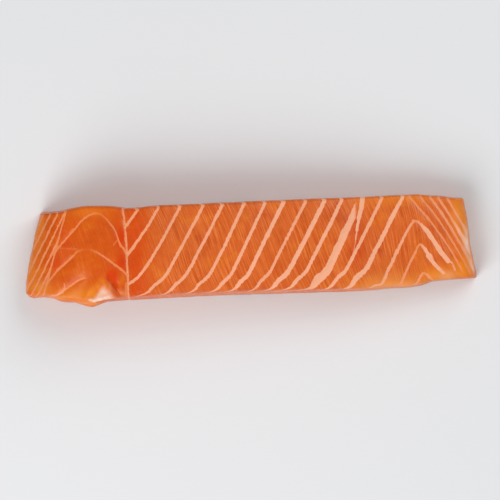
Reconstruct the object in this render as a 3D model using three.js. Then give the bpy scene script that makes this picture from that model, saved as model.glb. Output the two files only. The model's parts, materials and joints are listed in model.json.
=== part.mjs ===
// Skinless salmon fillet: one portion cut across a side of salmon, lying on its skinned side.
// Millimetres, +Z up. X runs from the back of the fish to its belly, Y along the fish, and the
// bone side faces up. The origin is under the middle of the portion, on the face it rests on.
import * as THREE from 'three';
import { mergeVertices } from 'three/addons/utils/BufferGeometryUtils.js';

// The box that the portion is shaped from, before its outline and thickness are applied.
const HALF_LENGTH = 86;
const HALF_WIDTH = 18.5;
const BLOCK_HEIGHT = 20;
const CELLS = { length: 106, width: 26, height: 10 };

// How much closer together the rows of the sides lie near the upper and under edges.
const ROW_CROWDING = 0.6;

// How far each edge of the box is rounded. The back of the fish is the softest edge, and the
// roundness of an end fades in over the last part of the half length. The upright edge between
// the near side and the back end is rounder than the other three.
const BACK_ROUND = { across: 8, down: 9 };
const BELLY_ROUND = { across: 4.2, down: 6.5 };
const NEAR_ROUND = { across: 1.9, down: 2.3 };
const FAR_ROUND = { across: 1.1, down: 1.3 };
const UPRIGHT_ROUND = 1;
const NEAR_BACK_ROUND = 3.4;
const UNDER_ROUND = 1.5;
const END_PART = 0.2;

// Outline at its widest, as [station along X, distance across Y].
const FAR_SIDE = [
  [-84, 16.9], [-77.5, 17], [-74.5, 17.65], [-71, 18.15], [-67, 18.45], [-61, 18.3], [-57.5, 18.05],
  [-54, 17.6], [-50.5, 17], [-46, 17.1], [-41, 17.5], [-20, 17.6], [20, 17.8], [46, 17.7], [58, 17.8],
  [66, 17.85], [72, 17.4], [78, 16.8], [84, 15.9],
];
const NEAR_SIDE = [
  [-84, -16.2], [-79, -15.9], [-76, -16.3], [-72.5, -17.7], [-69, -18.2], [-64, -18.4], [-50, -18.4],
  [-15, -18], [20, -18.3], [46, -18.3], [53, -17.9], [60, -17.8], [65, -17.1], [69, -15.9],
  [73, -15.55], [84, -15.2],
];
// The two ends, as [place across Y, distance along X].
const BACK_END = [[-18, -86.9], [-11, -86.7], [-2, -84.9], [8, -82.5], [18, -80.1]];
const BELLY_END = [[-18, 86.4], [-12, 86], [-3, 84.4], [6, 83.7], [18, 82.3]];
// How far each side comes in from the face that the portion rests on up to its upper face; the
// near side does so by the station along X.
const NEAR_FLARE = [[-86, 0.5], [-66, 0.6], [-56, 1.2], [45, 1.2], [64, 0.7], [84, 0.4]];
const FAR_FLARE = 0.2;
const BELLY_FLARE = 0.8;
// A loose corner of flesh stands out of the near side in a point, most at its level, a share of
// the thickness.
const LOOSE_CORNER = { x: -60.6, reach: 2.55, toBack: 7, toBelly: 8, blunt: 0.5, level: 0.78, depth: 0.4 };

// Thickness: the slope of the upper face changes at each of these places along X, as
// [place, change of slope, width of the bend].
const EDGE_HEIGHT = { x: -86, z: 12.4, slope: 1.08 };
const SLOPE_CHANGES = [
  [-80.5, -0.48, 2.2],
  [-73, -0.33, 3],
  [-61, -0.27, 5],
  [-34, -0.1, 9],
  [30, -0.03, 12],
];
const CROWN = 1.3;
// Slow waves of the upper face, as [height, turns along X, turns along Y, shift] in radians.
const SWELLS = [
  [0.55, 0.071, 0.03, 0.4],
  [0.4, 0.043, -0.11, 2.1],
  [0.22, 0.19, 0.13, 1.2],
  [0.16, -0.27, 0.31, 4.4],
];

// The sheets of fat between the muscle blocks slope through the thickness: the way that they
// have gone along Y at a depth is rate * depth * (1 + depth / ease), with the rate by X.
const LEAN_RATE = [[-86, 0.25], [-74, 0.6], [-62, 1.2], [68, 1.2], [80, 0.3]];
const LEAN_EASE = 40;
const GROOVE = { depth: 0.3, width: 0.9 };
const PILLOW = { height: 0.3, width: 2.4 };
// The knife leaves the cut sides flatter than the bone side, and the relief ends just above
// the face that the portion rests on.
const CUT_RELIEF = 0.4;
const RELIEF_END = 3;
// Marks on the upper face by the loose corner: a tear beside a ridge, and a fold with its rim.
const MARKS = [
  { from: [-54.4, -8.6], to: [-52.4, -12.2], width: 1.5, height: -0.8 },
  { from: [-52.8, -11.6], to: [-50.2, -17], width: 0.8, height: -0.6 },
  { from: [-56, -10], to: [-53, -16.4], width: 0.9, height: 0.35 },
  { from: [-57.8, -14.4], to: [-57, -15.6], width: 1.9, height: -0.5 },
  { from: [-60.6, -11.2], to: [-63.4, -16.4], width: 1.5, height: 0.4 },
  { from: [-62, -17.2], to: [-60.4, -17.7], width: 0.6, height: 0.5 },
  { from: [-60.4, -17.7], to: [-57.8, -17.1], width: 0.6, height: 0.5 },
  { from: [-57.8, -17.1], to: [-54.6, -16.4], width: 0.6, height: 0.4 },
];

// Sheets by the back edge: parallel lines that leave the border sheet.
const BORDER = { x: -75.25, lean: 0.31 };
const MARGIN = { x: -80, slope: 1.89 };
const MARGIN_LEVELS = { first: 13.2, last: -60, gaps: [5.2, 4.75, 4.9, 4.9, 4.35, 5.4], gap: 5 };

// Sheets of the loin between the border and the seam: the arches seen on the bone side, as
// [station along X, distance across Y], and the arches below them, which are alike.
const ARCHES = [
  [
    [-95, -22], [-73.4, 3], [-67.6, 9], [-63.9, 13], [-58.6, 15.4], [-55.8, 14.2],
    [-53.4, 11.6], [-51.3, 8], [-50.2, 3.8], [-48.5, 1.2], [-40, -14],
  ],
  [
    [-95, -33], [-77.9, -10], [-74.5, -6], [-72.2, -4.1], [-69.7, -2], [-65.6, 1.3],
    [-63, 1.8], [-60.4, 1.3], [-57.5, -0.3], [-52.8, -4], [-47.7, -8.5], [-40, -20],
  ],
  [[-95, -38], [-77, -16], [-74.2, -14.9], [-69.9, -12.2], [-64.5, -9.3], [-60, -10], [-40, -26]],
];
const LOWER_ARCH = { x: -64, first: -20.5, rise: 0.85, fall: 0.6, blunt: 3, gap: 11.6, count: 6 };
// The seam bows towards the back on the far side, and a trough runs along it.
const SEAM = { x: -47.5, bow: 0.0032, trough: 2.6, width: 2.3, depth: 0.8 };

// Sheets of the belly: long slanting lines that turn back in a point near the belly edge.
// Each turns with a bluntness, and its two legs have slopes.
const USUAL_TURN = { blunt: 0.8, rise: 1.83, fall: 1.18 };
const SEEN_TURNS = [
  { blunt: 1.2, rise: 2.4, fall: 1.6 },
  { blunt: 0.6, rise: 2.08, fall: 1.36 },
  { blunt: 2, rise: 2, fall: 1.4 },
  USUAL_TURN,
  USUAL_TURN,
  { ...USUAL_TURN, rise: 1.93 },
];
// The right legs steepen towards the belly edge, the left ones settle and sway towards the back
// and flatten into a foot by the near side.
const STEEPEN = { by: 1.14, at: 75.7, over: 4.5 };
const SETTLE = { by: 0.75, at: -38, over: 3 };
const SWAY = { height: 0.9, turns: 0.13, ends: 36 };
const FOOT = { by: 0.6, y: -10.4, x: 44, lean: 1.2, depth: 8, over: 1.2 };
const CREST_LINE = [
  [-75, 71], [-11.9, 65.7], [-1, 64.6], [8.5, 63], [18, 59.9], [26.6, 56.9],
  [35.6, 53.1], [42.9, 50.5], [51, 48.2], [140, 14],
];
const CRESTS = { first: -11.9, gaps: [10.9, 8.9, 10.2, 8.5, 9, 7.3, 8.1], count: 20 };
// The gaps of the later crests vary by a change, in turns of so many radians a crest.
const LATER_CRESTS = { gap: 7.7, change: 0.8, turns: 2.2 };
const LOWER_CRESTS = { gap: 10.8, count: 7 };

const FLESH_COLOR = '#dc7b4a';
const FLESH_ROUGHNESS = 0.38;

// Points closer than this are one point, and slopes are measured over this step.
const WELD = 1e-4;
const SLOPE_STEP = 0.05;

/** Eases from 0 to 1 as t goes from 0 to 1. */
function ease(t) {
  const c = THREE.MathUtils.clamp(t, 0, 1);
  return c * c * (3 - 2 * c);
}

/** A straight line that bends upwards by a slope of 1 at a place, over a given width. */
function bend(x, at, width) {
  const t = (x - at) / width;
  return width * (Math.max(t, 0) + Math.log1p(Math.exp(-Math.abs(t))));
}

/** A soft bump of height 1 that fades over a width. */
function bump(distance, width) {
  return Math.exp(-((distance / width) ** 2));
}

/** A smooth curve through knots of [place, value], level beyond its ends. */
function curveThrough(knots) {
  const secant = (i) => (knots[i + 1][1] - knots[i][1]) / (knots[i + 1][0] - knots[i][0]);
  const last = knots.length - 1;
  const slope = (i) => (i === 0 || i === last ? 0 : (secant(i - 1) + secant(i)) / 2);
  return (x) => {
    if (x <= knots[0][0]) return knots[0][1];
    if (x >= knots[last][0]) return knots[last][1];
    const i = knots.findIndex((knot) => knot[0] > x) - 1;
    const span = knots[i + 1][0] - knots[i][0];
    const t = (x - knots[i][0]) / span;
    const start = knots[i][1] * (1 + 2 * t) + slope(i) * span * t;
    const end = knots[i + 1][1] * (3 - 2 * t) - slope(i + 1) * span * (1 - t);
    return start * (1 - t) ** 2 + end * t ** 2;
  };
}

const farSide = curveThrough(FAR_SIDE);
const nearSide = curveThrough(NEAR_SIDE);
const nearFlare = curveThrough(NEAR_FLARE);
const backEnd = curveThrough(BACK_END);
const bellyEnd = curveThrough(BELLY_END);
const crestLine = curveThrough(CREST_LINE);
const leanRate = curveThrough(LEAN_RATE);

/** Height of the upper face before its edges are rounded. */
function upperFace(x, y) {
  let z = EDGE_HEIGHT.z + EDGE_HEIGHT.slope * (x - EDGE_HEIGHT.x);
  for (const [at, change, width] of SLOPE_CHANGES) {
    z += change * (bend(x, at, width) - bend(EDGE_HEIGHT.x, at, width));
  }
  for (const [height, alongX, alongY, shift] of SWELLS) {
    z += height * Math.sin(alongX * x + alongY * y + shift);
  }
  return z - CROWN * (y / HALF_WIDTH) ** 2;
}

/** Moves a point on the sharp box onto the box with rounded edges. */
function roundEdges(x, y, z) {
  const raised = ease(z / BLOCK_HEIGHT);
  const end = x < 0 ? BACK_ROUND : BELLY_ROUND;
  const nearEnd = ease(1 - (1 - Math.abs(x) / HALF_LENGTH) / END_PART);
  const toFar = ease((1 + y / HALF_WIDTH) / 2);
  const sideAcross = THREE.MathUtils.lerp(NEAR_ROUND.across, FAR_ROUND.across, toFar);
  const sideDown = THREE.MathUtils.lerp(NEAR_ROUND.down, FAR_ROUND.down, toFar);
  const upright = x < 0 && y < 0 ? NEAR_BACK_ROUND : UPRIGHT_ROUND;
  const round = new THREE.Vector3(
    THREE.MathUtils.lerp(upright, end.across, raised),
    THREE.MathUtils.lerp(upright, sideAcross, raised),
    THREE.MathUtils.lerp(sideDown, end.down, nearEnd),
  );
  const inner = new THREE.Vector3(
    THREE.MathUtils.clamp(x, round.x - HALF_LENGTH, HALF_LENGTH - round.x),
    THREE.MathUtils.clamp(y, round.y - HALF_WIDTH, HALF_WIDTH - round.y),
    Math.min(z, BLOCK_HEIGHT - round.z),
  );
  const out = new THREE.Vector3(x, y, z).sub(inner).divide(round).normalize();
  const point = inner.add(out.multiply(round));
  const below = Math.max(1 - point.z / UNDER_ROUND, 0);
  const inset = UNDER_ROUND * (1 - Math.sqrt(1 - below * below));
  point.x *= 1 - inset / HALF_LENGTH;
  point.y *= 1 - inset / HALF_WIDTH;
  return point;
}

/** How far the loose corner stands out at x, at a share of the thickness. */
function looseCorner(x, raised) {
  const { reach, toBack, toBelly, blunt, level, depth } = LOOSE_CORNER;
  const away = x - LOOSE_CORNER.x;
  const tent = 1 - (Math.hypot(away, blunt) - blunt) / (away < 0 ? toBack : toBelly);
  return reach * Math.max(tent, 0) * bump(raised - level, depth);
}

/** Gives a point of the rounded box its place on the portion. */
function shapePortion(point) {
  const raised = point.z / BLOCK_HEIGHT;
  const across = point.y / HALF_WIDTH;
  const along = point.x / HALF_LENGTH;
  const near = nearSide(point.x) + nearFlare(point.x) * raised - looseCorner(point.x, raised);
  const far = farSide(point.x) - FAR_FLARE * raised;
  const y = (far + near) / 2 + across * (far - near) / 2;
  const left = backEnd(y);
  const right = bellyEnd(y) - BELLY_FLARE * raised;
  const x = (left + right) / 2 + along * (right - left) / 2;
  return new THREE.Vector3(x, y, raised * upperFace(x, y));
}

/** Height in Y, at x, of one of the arches that are alike. */
function lowerArchAt(first, x) {
  const { rise, fall, blunt } = LOWER_ARCH;
  const away = x - LOWER_ARCH.x;
  return first + ((rise - fall) / 2) * away - ((rise + fall) / 2) * (Math.hypot(away, blunt) - blunt);
}

/** Height in Y, at x, of the belly sheet with a crest at the given height and its turn. */
function bellySheetAt(crest, { blunt, rise, fall }, x) {
  const away = x - crestLine(crest);
  const turned = Math.hypot(away, blunt) - blunt;
  const straight = crest - ((rise + fall) / 2) * turned + ((rise - fall) / 2) * away;
  const sway = SWAY.height * Math.sin(SWAY.turns * x) * ease((SWAY.ends - x) / SWAY.ends);
  const y = straight + sway + SETTLE.by * bend(-x, -SETTLE.at, SETTLE.over);
  const below = FOOT.y - FOOT.lean * Math.max(x - FOOT.x, 0) - y;
  const foot = FOOT.by * (bend(below, 0, FOOT.over) - bend(below, FOOT.depth, FOOT.over));
  return y + foot - STEEPEN.by * bend(x, STEEPEN.at, STEEPEN.over);
}

/** Height in Y, at x, of the back edge sheet that has the given level at the margin's station. */
function marginSheetAt(level, x) {
  return level + MARGIN.slope * (x - MARGIN.x);
}

/** The levels of the back edge sheets, from the far side to the near side. */
function marginLevels() {
  const { first, last, gaps, gap } = MARGIN_LEVELS;
  const found = [first];
  while (found.at(-1) > last) found.push(found.at(-1) - (gaps[found.length - 1] ?? gap));
  return found;
}

/** The belly sheets: those seen on the bone side and on to the far end, and those below them. */
function makeBellySheets() {
  const { first, gaps, count } = CRESTS;
  const crests = [first];
  for (let i = 0; i < count; i += 1) {
    const later = LATER_CRESTS.gap + LATER_CRESTS.change * Math.sin(LATER_CRESTS.turns * (i - gaps.length));
    crests.push(crests.at(-1) + (gaps[i] ?? later));
  }
  const sheets = crests.map((crest, i) => (x) => bellySheetAt(crest, SEEN_TURNS[i] ?? USUAL_TURN, x));
  for (let i = 1; i <= LOWER_CRESTS.count; i += 1) {
    sheets.push((x) => bellySheetAt(first - i * LOWER_CRESTS.gap, SEEN_TURNS[1], x));
  }
  return sheets;
}

/** The loin's arches: the ones seen on the bone side, then the ones below them. */
function makeArchSheets() {
  const sheets = ARCHES.map(curveThrough);
  for (let i = 0; i < LOWER_ARCH.count; i += 1) {
    sheets.push((x) => lowerArchAt(LOWER_ARCH.first - i * LOWER_ARCH.gap, x));
  }
  return sheets;
}

const marginSheets = marginLevels().map((level) => (x) => marginSheetAt(level, x));
const archSheets = makeArchSheets();
const bellySheets = makeBellySheets();

/** Distance in the XY plane from a point to a sheet given as a height function of x. */
function distanceTo(sheet, x, y) {
  const slope = (sheet(x + SLOPE_STEP) - sheet(x - SLOPE_STEP)) / (2 * SLOPE_STEP);
  return Math.abs(y - sheet(x)) / Math.hypot(1, slope);
}

/** Distance along X from the seam, positive on the belly side of it. */
function pastSeam(x, y) {
  return x - SEAM.x + SEAM.bow * Math.max(y, 0) ** 2;
}

/** Distance from a point to the nearest sheet of fat, at y on the upper face's level. */
function fatDistance(x, y) {
  const pastBorder = x - BORDER.x - BORDER.lean * y;
  let sheets = bellySheets;
  if (pastSeam(x, y) < 0) sheets = archSheets;
  if (pastBorder < 0) sheets = marginSheets;
  const between = Math.min(Math.abs(pastBorder) / Math.hypot(1, BORDER.lean), Math.abs(pastSeam(x, y)));
  return sheets.reduce((least, sheet) => Math.min(least, distanceTo(sheet, x, y)), between);
}

/** How far a mark raises or sinks the upper face at a point. */
function markHeight(mark, point) {
  const start = new THREE.Vector2(...mark.from);
  const way = new THREE.Vector2(...mark.to).sub(start);
  const offset = new THREE.Vector2(point.x, point.y).sub(start);
  const along = THREE.MathUtils.clamp(offset.dot(way) / way.lengthSq(), 0, 1);
  return mark.height * bump(offset.sub(way.multiplyScalar(along)).length(), mark.width);
}

/** How far the surface stands in or out of the smooth form. */
function relief(point, normal) {
  const depth = Math.max(upperFace(point.x, point.y) - point.z, 0);
  const y = point.y - leanRate(point.x) * depth * (1 + depth / LEAN_EASE);
  const distance = fatDistance(point.x, y);
  const upward = ease(normal.z);
  const groove = GROOVE.depth * bump(distance, GROOVE.width);
  const pillow = PILLOW.height * (1 - Math.exp(-distance / PILLOW.width));
  const trough = SEAM.depth * bump(pastSeam(point.x, y) - SEAM.trough, SEAM.width);
  const marks = MARKS.reduce((total, mark) => total + markHeight(mark, point), 0);
  const blocks = (pillow - groove) * THREE.MathUtils.lerp(CUT_RELIEF, 1, upward);
  return (blocks + (marks - trough) * upward) * ease(point.z / RELIEF_END);
}

/** The point of the sharp box at a corner of its cells. */
function boxPoint(i, j, k) {
  const turn = 2 * Math.PI;
  const t = k / CELLS.height;
  return [
    (i / CELLS.length * 2 - 1) * HALF_LENGTH,
    (j / CELLS.width * 2 - 1) * HALF_WIDTH,
    (t - ROW_CROWDING * Math.sin(turn * t) / turn) * BLOCK_HEIGHT,
  ];
}

/** The faces of the box as quads: all six sides but the one that it rests on. */
function boxQuads() {
  const { length, width, height } = CELLS;
  const quads = [];
  const grid = (countU, countV, at) => {
    for (let u = 0; u < countU; u += 1) {
      for (let v = 0; v < countV; v += 1) {
        quads.push([at(u, v), at(u + 1, v), at(u + 1, v + 1), at(u, v + 1)]);
      }
    }
  };
  grid(length, width, (u, v) => boxPoint(u, v, height));
  grid(length, height, (u, v) => boxPoint(u, 0, v));
  grid(height, length, (u, v) => boxPoint(v, width, u));
  grid(height, width, (u, v) => boxPoint(0, v, u));
  grid(width, height, (u, v) => boxPoint(length, u, v));
  return quads;
}

/** The face that the portion rests on: strips from side to side, and a fan at each end. */
function underTriangles() {
  const { length, width } = CELLS;
  const triangles = [];
  const add = (...cells) => triangles.push(cells.map(([i, j]) => boxPoint(i, j, 0)));
  for (let i = 1; i < length - 1; i += 1) {
    add([i, 0], [i, width], [i + 1, width]);
    add([i, 0], [i + 1, width], [i + 1, 0]);
  }
  const half = width / 2;
  for (let j = 0; j < width; j += 1) {
    const side = j < half ? 0 : width;
    add([1, side], [0, j], [0, j + 1]);
    add([length - 1, side], [length, j + 1], [length, j]);
  }
  add([1, 0], [0, half], [1, width]);
  add([length - 1, width], [length, half], [length - 1, 0]);
  return triangles;
}

/** The whole portion as one closed body. */
function makeFillet() {
  const place = ([x, y, z]) => shapePortion(roundEdges(x, y, z)).toArray();
  const corners = [];
  for (const quad of boxQuads()) {
    const [a, b, c, d] = quad.map(place);
    corners.push(...a, ...b, ...c, ...a, ...c, ...d);
  }
  for (const triangle of underTriangles()) {
    corners.push(...triangle.flatMap(place));
  }
  const soup = new THREE.BufferGeometry();
  soup.setAttribute('position', new THREE.Float32BufferAttribute(corners, 3));
  const body = mergeVertices(soup, WELD);
  body.computeVertexNormals();
  const points = body.getAttribute('position');
  const normals = body.getAttribute('normal');
  const point = new THREE.Vector3();
  const normal = new THREE.Vector3();
  for (let i = 0; i < points.count; i += 1) {
    point.fromBufferAttribute(points, i);
    normal.fromBufferAttribute(normals, i);
    point.addScaledVector(normal, relief(point, normal));
    points.setXYZ(i, point.x, point.y, point.z);
  }
  body.computeVertexNormals();
  return body;
}

const flesh = new THREE.MeshStandardMaterial({
  color: FLESH_COLOR,
  roughness: FLESH_ROUGHNESS,
  metalness: 0,
});
const fillet = new THREE.Mesh(makeFillet(), flesh);
fillet.name = 'fillet';
const middle = new THREE.Box3().setFromObject(fillet).getCenter(new THREE.Vector3());
fillet.position.set(-middle.x, -middle.y, 0);
const portion = new THREE.Group();
portion.add(fillet);

export default portion;
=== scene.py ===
"""Looks of a raw skinless salmon fillet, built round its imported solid.

The fillet is one slab of muscle, cut across a side of salmon. It is shaped here on a fine grid from
the sizes of its solid, in millimetres: X runs from the back of the fish to its belly, Y along the
fish, and the bone side faces up. Sheets of fat part the muscle into blocks. Each family of sheets
gives every point of the surface a turn, which is a whole number on a sheet, so that the material can
draw the fat as a crisp line of its real width.
"""

from __future__ import annotations

import json
import logging
import math
from dataclasses import dataclass, replace
from enum import Enum
from functools import reduce
from typing import NamedTuple, Union

import bpy
import numpy as np
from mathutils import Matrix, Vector

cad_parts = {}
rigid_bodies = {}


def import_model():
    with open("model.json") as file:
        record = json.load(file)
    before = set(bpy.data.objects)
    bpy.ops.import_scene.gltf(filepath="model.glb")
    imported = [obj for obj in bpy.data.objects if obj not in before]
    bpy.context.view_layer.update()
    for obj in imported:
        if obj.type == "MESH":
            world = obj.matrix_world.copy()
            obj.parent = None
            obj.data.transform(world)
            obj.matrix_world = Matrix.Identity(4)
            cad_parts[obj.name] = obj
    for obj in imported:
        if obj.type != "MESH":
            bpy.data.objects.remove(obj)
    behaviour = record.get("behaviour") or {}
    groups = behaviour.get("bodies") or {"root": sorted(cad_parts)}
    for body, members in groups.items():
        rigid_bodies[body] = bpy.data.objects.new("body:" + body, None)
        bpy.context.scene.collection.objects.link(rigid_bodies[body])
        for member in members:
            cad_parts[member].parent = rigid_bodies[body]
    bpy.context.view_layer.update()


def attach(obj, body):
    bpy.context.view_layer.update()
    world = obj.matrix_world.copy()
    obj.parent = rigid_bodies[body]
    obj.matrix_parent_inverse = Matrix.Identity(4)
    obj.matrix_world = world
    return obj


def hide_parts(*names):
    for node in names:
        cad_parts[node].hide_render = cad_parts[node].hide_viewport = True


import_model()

log = logging.getLogger("fillet")

Array = np.ndarray
Color = tuple[float, float, float, float]
Place = tuple[float, float]

MM = 0.001
MIDDLE = 0.5
BEYOND = 99.0
TINY = 1e-12


def ease(t: Array | float) -> Array:
    """Ease from 0 to 1 as t goes from 0 to 1, and hold the ends beyond."""
    held = np.clip(t, 0.0, 1.0)
    return held * held * (3.0 - 2.0 * held)


def lerp(start: Array | float, end: Array | float, t: Array | float) -> Array:
    """Give the value a share t of the way from start to end."""
    return start + (end - start) * t


def bend(x: Array | float, at: float, width: float) -> Array:
    """Give a line that bends upwards by a slope of 1 at a place, over a width."""
    return width * np.logaddexp(0.0, (x - at) / width)


def bump(distance: Array, width: float) -> Array:
    """Give a soft bump of height 1 that has faded to about a third at a width."""
    return np.exp(-((distance / width) ** 2))


def paint(red: int, green: int, blue: int) -> Color:
    """Turn a screen colour, with parts from 0 to 255, into an opaque linear one."""
    parts = [part / 255 for part in (red, green, blue)]
    return (*(p / 12.92 if p < 0.0404 else ((p + 0.055) / 1.055) ** 2.4 for p in parts), 1.0)


@dataclass(frozen=True)
class Curve:
    """Smooth curve through knots of (place, value), level beyond its ends."""

    knots: tuple[Place, ...]

    def __call__(self, x: Array | float) -> Array:
        """Give the curve's value at each place.

        Args:
            x: Places.

        Returns:
            The values there.
        """
        place, value = np.array(self.knots).T
        secant = np.diff(value) / np.diff(place)
        slope = np.concatenate([[0.0], (secant[1:] + secant[:-1]) / 2.0, [0.0]])
        x = np.clip(x, place[0], place[-1])
        i = np.clip(np.searchsorted(place, x, side="right") - 1, 0, len(place) - 2)
        span = place[i + 1] - place[i]
        t = (x - place[i]) / span
        start = value[i] * (1.0 + 2.0 * t) + slope[i] * span * t
        end = value[i + 1] * (3.0 - 2.0 * t) - slope[i + 1] * span * (1.0 - t)
        return start * (1.0 - t) ** 2 + end * t**2


@dataclass(frozen=True)
class Unevenness:
    """Smooth seeded noise over points in space, up to about an amount to either side of 0."""

    seed: int
    size: float
    layers: int
    amount: float
    lattice: int = 32

    def __call__(self, points: Array) -> Array:
        """Give the noise at each point.

        Args:
            points: Points in millimetres, one a row.

        Returns:
            One value for each point.
        """
        total = np.zeros(len(points))
        for layer in range(self.layers):
            total += self._layer(points * 2.0**layer / self.size, self.seed + layer) / 2.0**layer
        return self.amount * total

    def _layer(self, places: Array, seed: int) -> Array:
        """Give one layer of the noise.

        Args:
            places: Points in steps of the lattice.
            seed: Seed of the layer's random values.

        Returns:
            One value from -1 to 1 for each point.
        """
        values = np.random.default_rng(seed).uniform(-1.0, 1.0, (self.lattice,) * 3)
        low = np.floor(places).astype(int)
        share = ease(places - low)
        total = np.zeros(len(places))
        for corner in np.ndindex(2, 2, 2):
            x, y, z = ((low + corner) % self.lattice).T
            weight = np.prod(np.where(np.array(corner) == 1, share, 1.0 - share), axis=1)
            total += weight * values[x, y, z]
        return total


@dataclass(frozen=True)
class Round:
    """How far an edge is rounded, across the top and down the side."""

    across: float
    down: float


@dataclass(frozen=True)
class LooseCorner:
    """Corner of flesh that stands out of the near side in a point."""

    x: float = -60.6
    reach: float = 2.55
    to_back: float = 7.0
    to_belly: float = 8.0
    blunt: float = 0.5
    level: float = 0.78
    depth: float = 0.4

    def out(self, x: Array, raised: Array) -> Array:
        """Give how far the corner stands out.

        Args:
            x: Places along the portion.
            raised: Heights as a share of the thickness.

        Returns:
            Ways out of the near side.
        """
        away = x - self.x
        width = np.where(away < 0, self.to_back, self.to_belly)
        tent = 1.0 - (np.sqrt(away * away + self.blunt**2) - self.blunt) / width
        return self.reach * np.maximum(tent, 0.0) * bump(raised - self.level, self.depth)


@dataclass(frozen=True)
class Form:
    """The portion's smooth form: a block that gets round edges, an outline and a thickness.

    The upper face starts at the back edge with a height and a slope. The slope then changes at
    places, each as (place, change, width of the bend), and slow waves lie over it, each as
    (height, turns along X, turns along Y, shift).
    """

    half_length: float = 86.0
    half_width: float = 18.5
    height: float = 20.0
    back_round: Round = Round(8.0, 9.0)
    belly_round: Round = Round(4.2, 6.5)
    near_round: Round = Round(1.9, 2.3)
    far_round: Round = Round(1.1, 1.3)
    upright_round: float = 1.0
    near_back_round: float = 3.4
    under_round: float = 1.5
    end_part: float = 0.2
    least_reach: float = 1e-6
    far_side: Curve = Curve(
        ((-84, 16.9), (-77.5, 17.0), (-74.5, 17.65), (-71, 18.15), (-67, 18.45), (-61, 18.3),
         (-57.5, 18.05), (-54, 17.6), (-50.5, 17.0), (-46, 17.1), (-41, 17.5), (-20, 17.6), (20, 17.8),
         (46, 17.7), (58, 17.8), (66, 17.85), (72, 17.4), (78, 16.8), (84, 15.9))
    )
    near_side: Curve = Curve(
        ((-84, -16.2), (-79, -15.9), (-76, -16.3), (-72.5, -17.7), (-69, -18.2), (-64, -18.4), (-50, -18.4),
         (-15, -18.0), (20, -18.3), (46, -18.3), (53, -17.9), (60, -17.8), (65, -17.1), (69, -15.9),
         (73, -15.55), (84, -15.2))
    )
    back_end: Curve = Curve(((-18, -86.9), (-11, -86.7), (-2, -84.9), (8, -82.5), (18, -80.1)))
    belly_end: Curve = Curve(((-18, 86.4), (-12, 86.0), (-3, 84.4), (6, 83.7), (18, 82.3)))
    near_flare: Curve = Curve(((-86, 0.5), (-66, 0.6), (-56, 1.2), (45, 1.2), (64, 0.7), (84, 0.4)))
    far_flare: float = 0.2
    belly_flare: float = 0.8
    corner: LooseCorner = LooseCorner()
    edge_x: float = -86.0
    edge_height: float = 12.4
    edge_slope: float = 1.08
    slope_changes: tuple[tuple[float, float, float], ...] = (
        (-80.5, -0.48, 2.2), (-73.0, -0.33, 3.0), (-61.0, -0.27, 5.0),
        (-34.0, -0.1, 9.0), (30.0, -0.03, 12.0),
    )
    crown: float = 1.3
    swells: tuple[tuple[float, float, float, float], ...] = (
        (0.55, 0.071, 0.03, 0.4), (0.4, 0.043, -0.11, 2.1),
        (0.22, 0.19, 0.13, 1.2), (0.16, -0.27, 0.31, 4.4),
    )

    def upper_face(self, x: Array, y: Array) -> Array:
        """Give the height of the upper face before its edges are rounded.

        Args:
            x: Places along the portion.
            y: Places across it.

        Returns:
            Heights above the underside.
        """
        z = self.edge_height + self.edge_slope * (x - self.edge_x)
        for at, change, width in self.slope_changes:
            z = z + change * (bend(x, at, width) - bend(self.edge_x, at, width))
        for height, along_x, along_y, shift in self.swells:
            z = z + height * np.sin(along_x * x + along_y * y + shift)
        return z - self.crown * (y / self.half_width) ** 2

    def depth(self, points: Array) -> Array:
        """Give how far points lie below the upper face."""
        return np.maximum(self.upper_face(points[:, 0], points[:, 1]) - points[:, 2], 0.0)

    def round_edges(self, block: Array) -> Array:
        """Move points on the sharp block onto the block with round edges.

        Args:
            block: Points on the block's surface.

        Returns:
            The moved points.
        """
        x, y, z = block.T
        raised = ease(z / self.height)
        near_end = ease(1.0 - (1.0 - np.abs(x) / self.half_length) / self.end_part)
        to_far = ease((1.0 + y / self.half_width) / 2.0)
        side_across = lerp(self.near_round.across, self.far_round.across, to_far)
        side_down = lerp(self.near_round.down, self.far_round.down, to_far)
        back = x < 0
        end_across = np.where(back, self.back_round.across, self.belly_round.across)
        end_down = np.where(back, self.back_round.down, self.belly_round.down)
        upright = np.where(back & (y < 0), self.near_back_round, self.upright_round)
        along = lerp(upright, end_across, raised)
        across = lerp(upright, side_across, raised)
        down = lerp(side_down, end_down, near_end)
        inner_x = np.clip(x, along - self.half_length, self.half_length - along)
        inner_y = np.clip(y, across - self.half_width, self.half_width - across)
        inner = np.stack([inner_x, inner_y, np.minimum(z, self.height - down)], axis=1)
        around = np.stack([along, across, down], axis=1)
        out = (block - inner) / around
        out /= np.maximum(np.linalg.norm(out, axis=1, keepdims=True), 1.0)
        points = inner + out * around
        below = np.maximum(1.0 - points[:, 2] / self.under_round, 0.0)
        inset = self.under_round * (1.0 - np.sqrt(1.0 - below * below))
        points[:, 0] *= 1.0 - inset / self.half_length
        points[:, 1] *= 1.0 - inset / self.half_width
        return points

    def outline(self, points: Array) -> Array:
        """Give points of the round block their place on the portion.

        Args:
            points: Points of the round block.

        Returns:
            The places on the portion.
        """
        along, across, raised = (points / (self.half_length, self.half_width, self.height)).T
        flare = self.near_flare(points[:, 0]) * raised
        near = self.near_side(points[:, 0]) + flare - self.corner.out(points[:, 0], raised)
        far = self.far_side(points[:, 0]) - self.far_flare * raised
        y = (far + near) / 2.0 + across * (far - near) / 2.0
        left = self.back_end(y)
        right = self.belly_end(y) - self.belly_flare * raised
        x = (left + right) / 2.0 + along * (right - left) / 2.0
        return np.stack([x, y, raised * self.upper_face(x, y)], axis=1)

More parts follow.
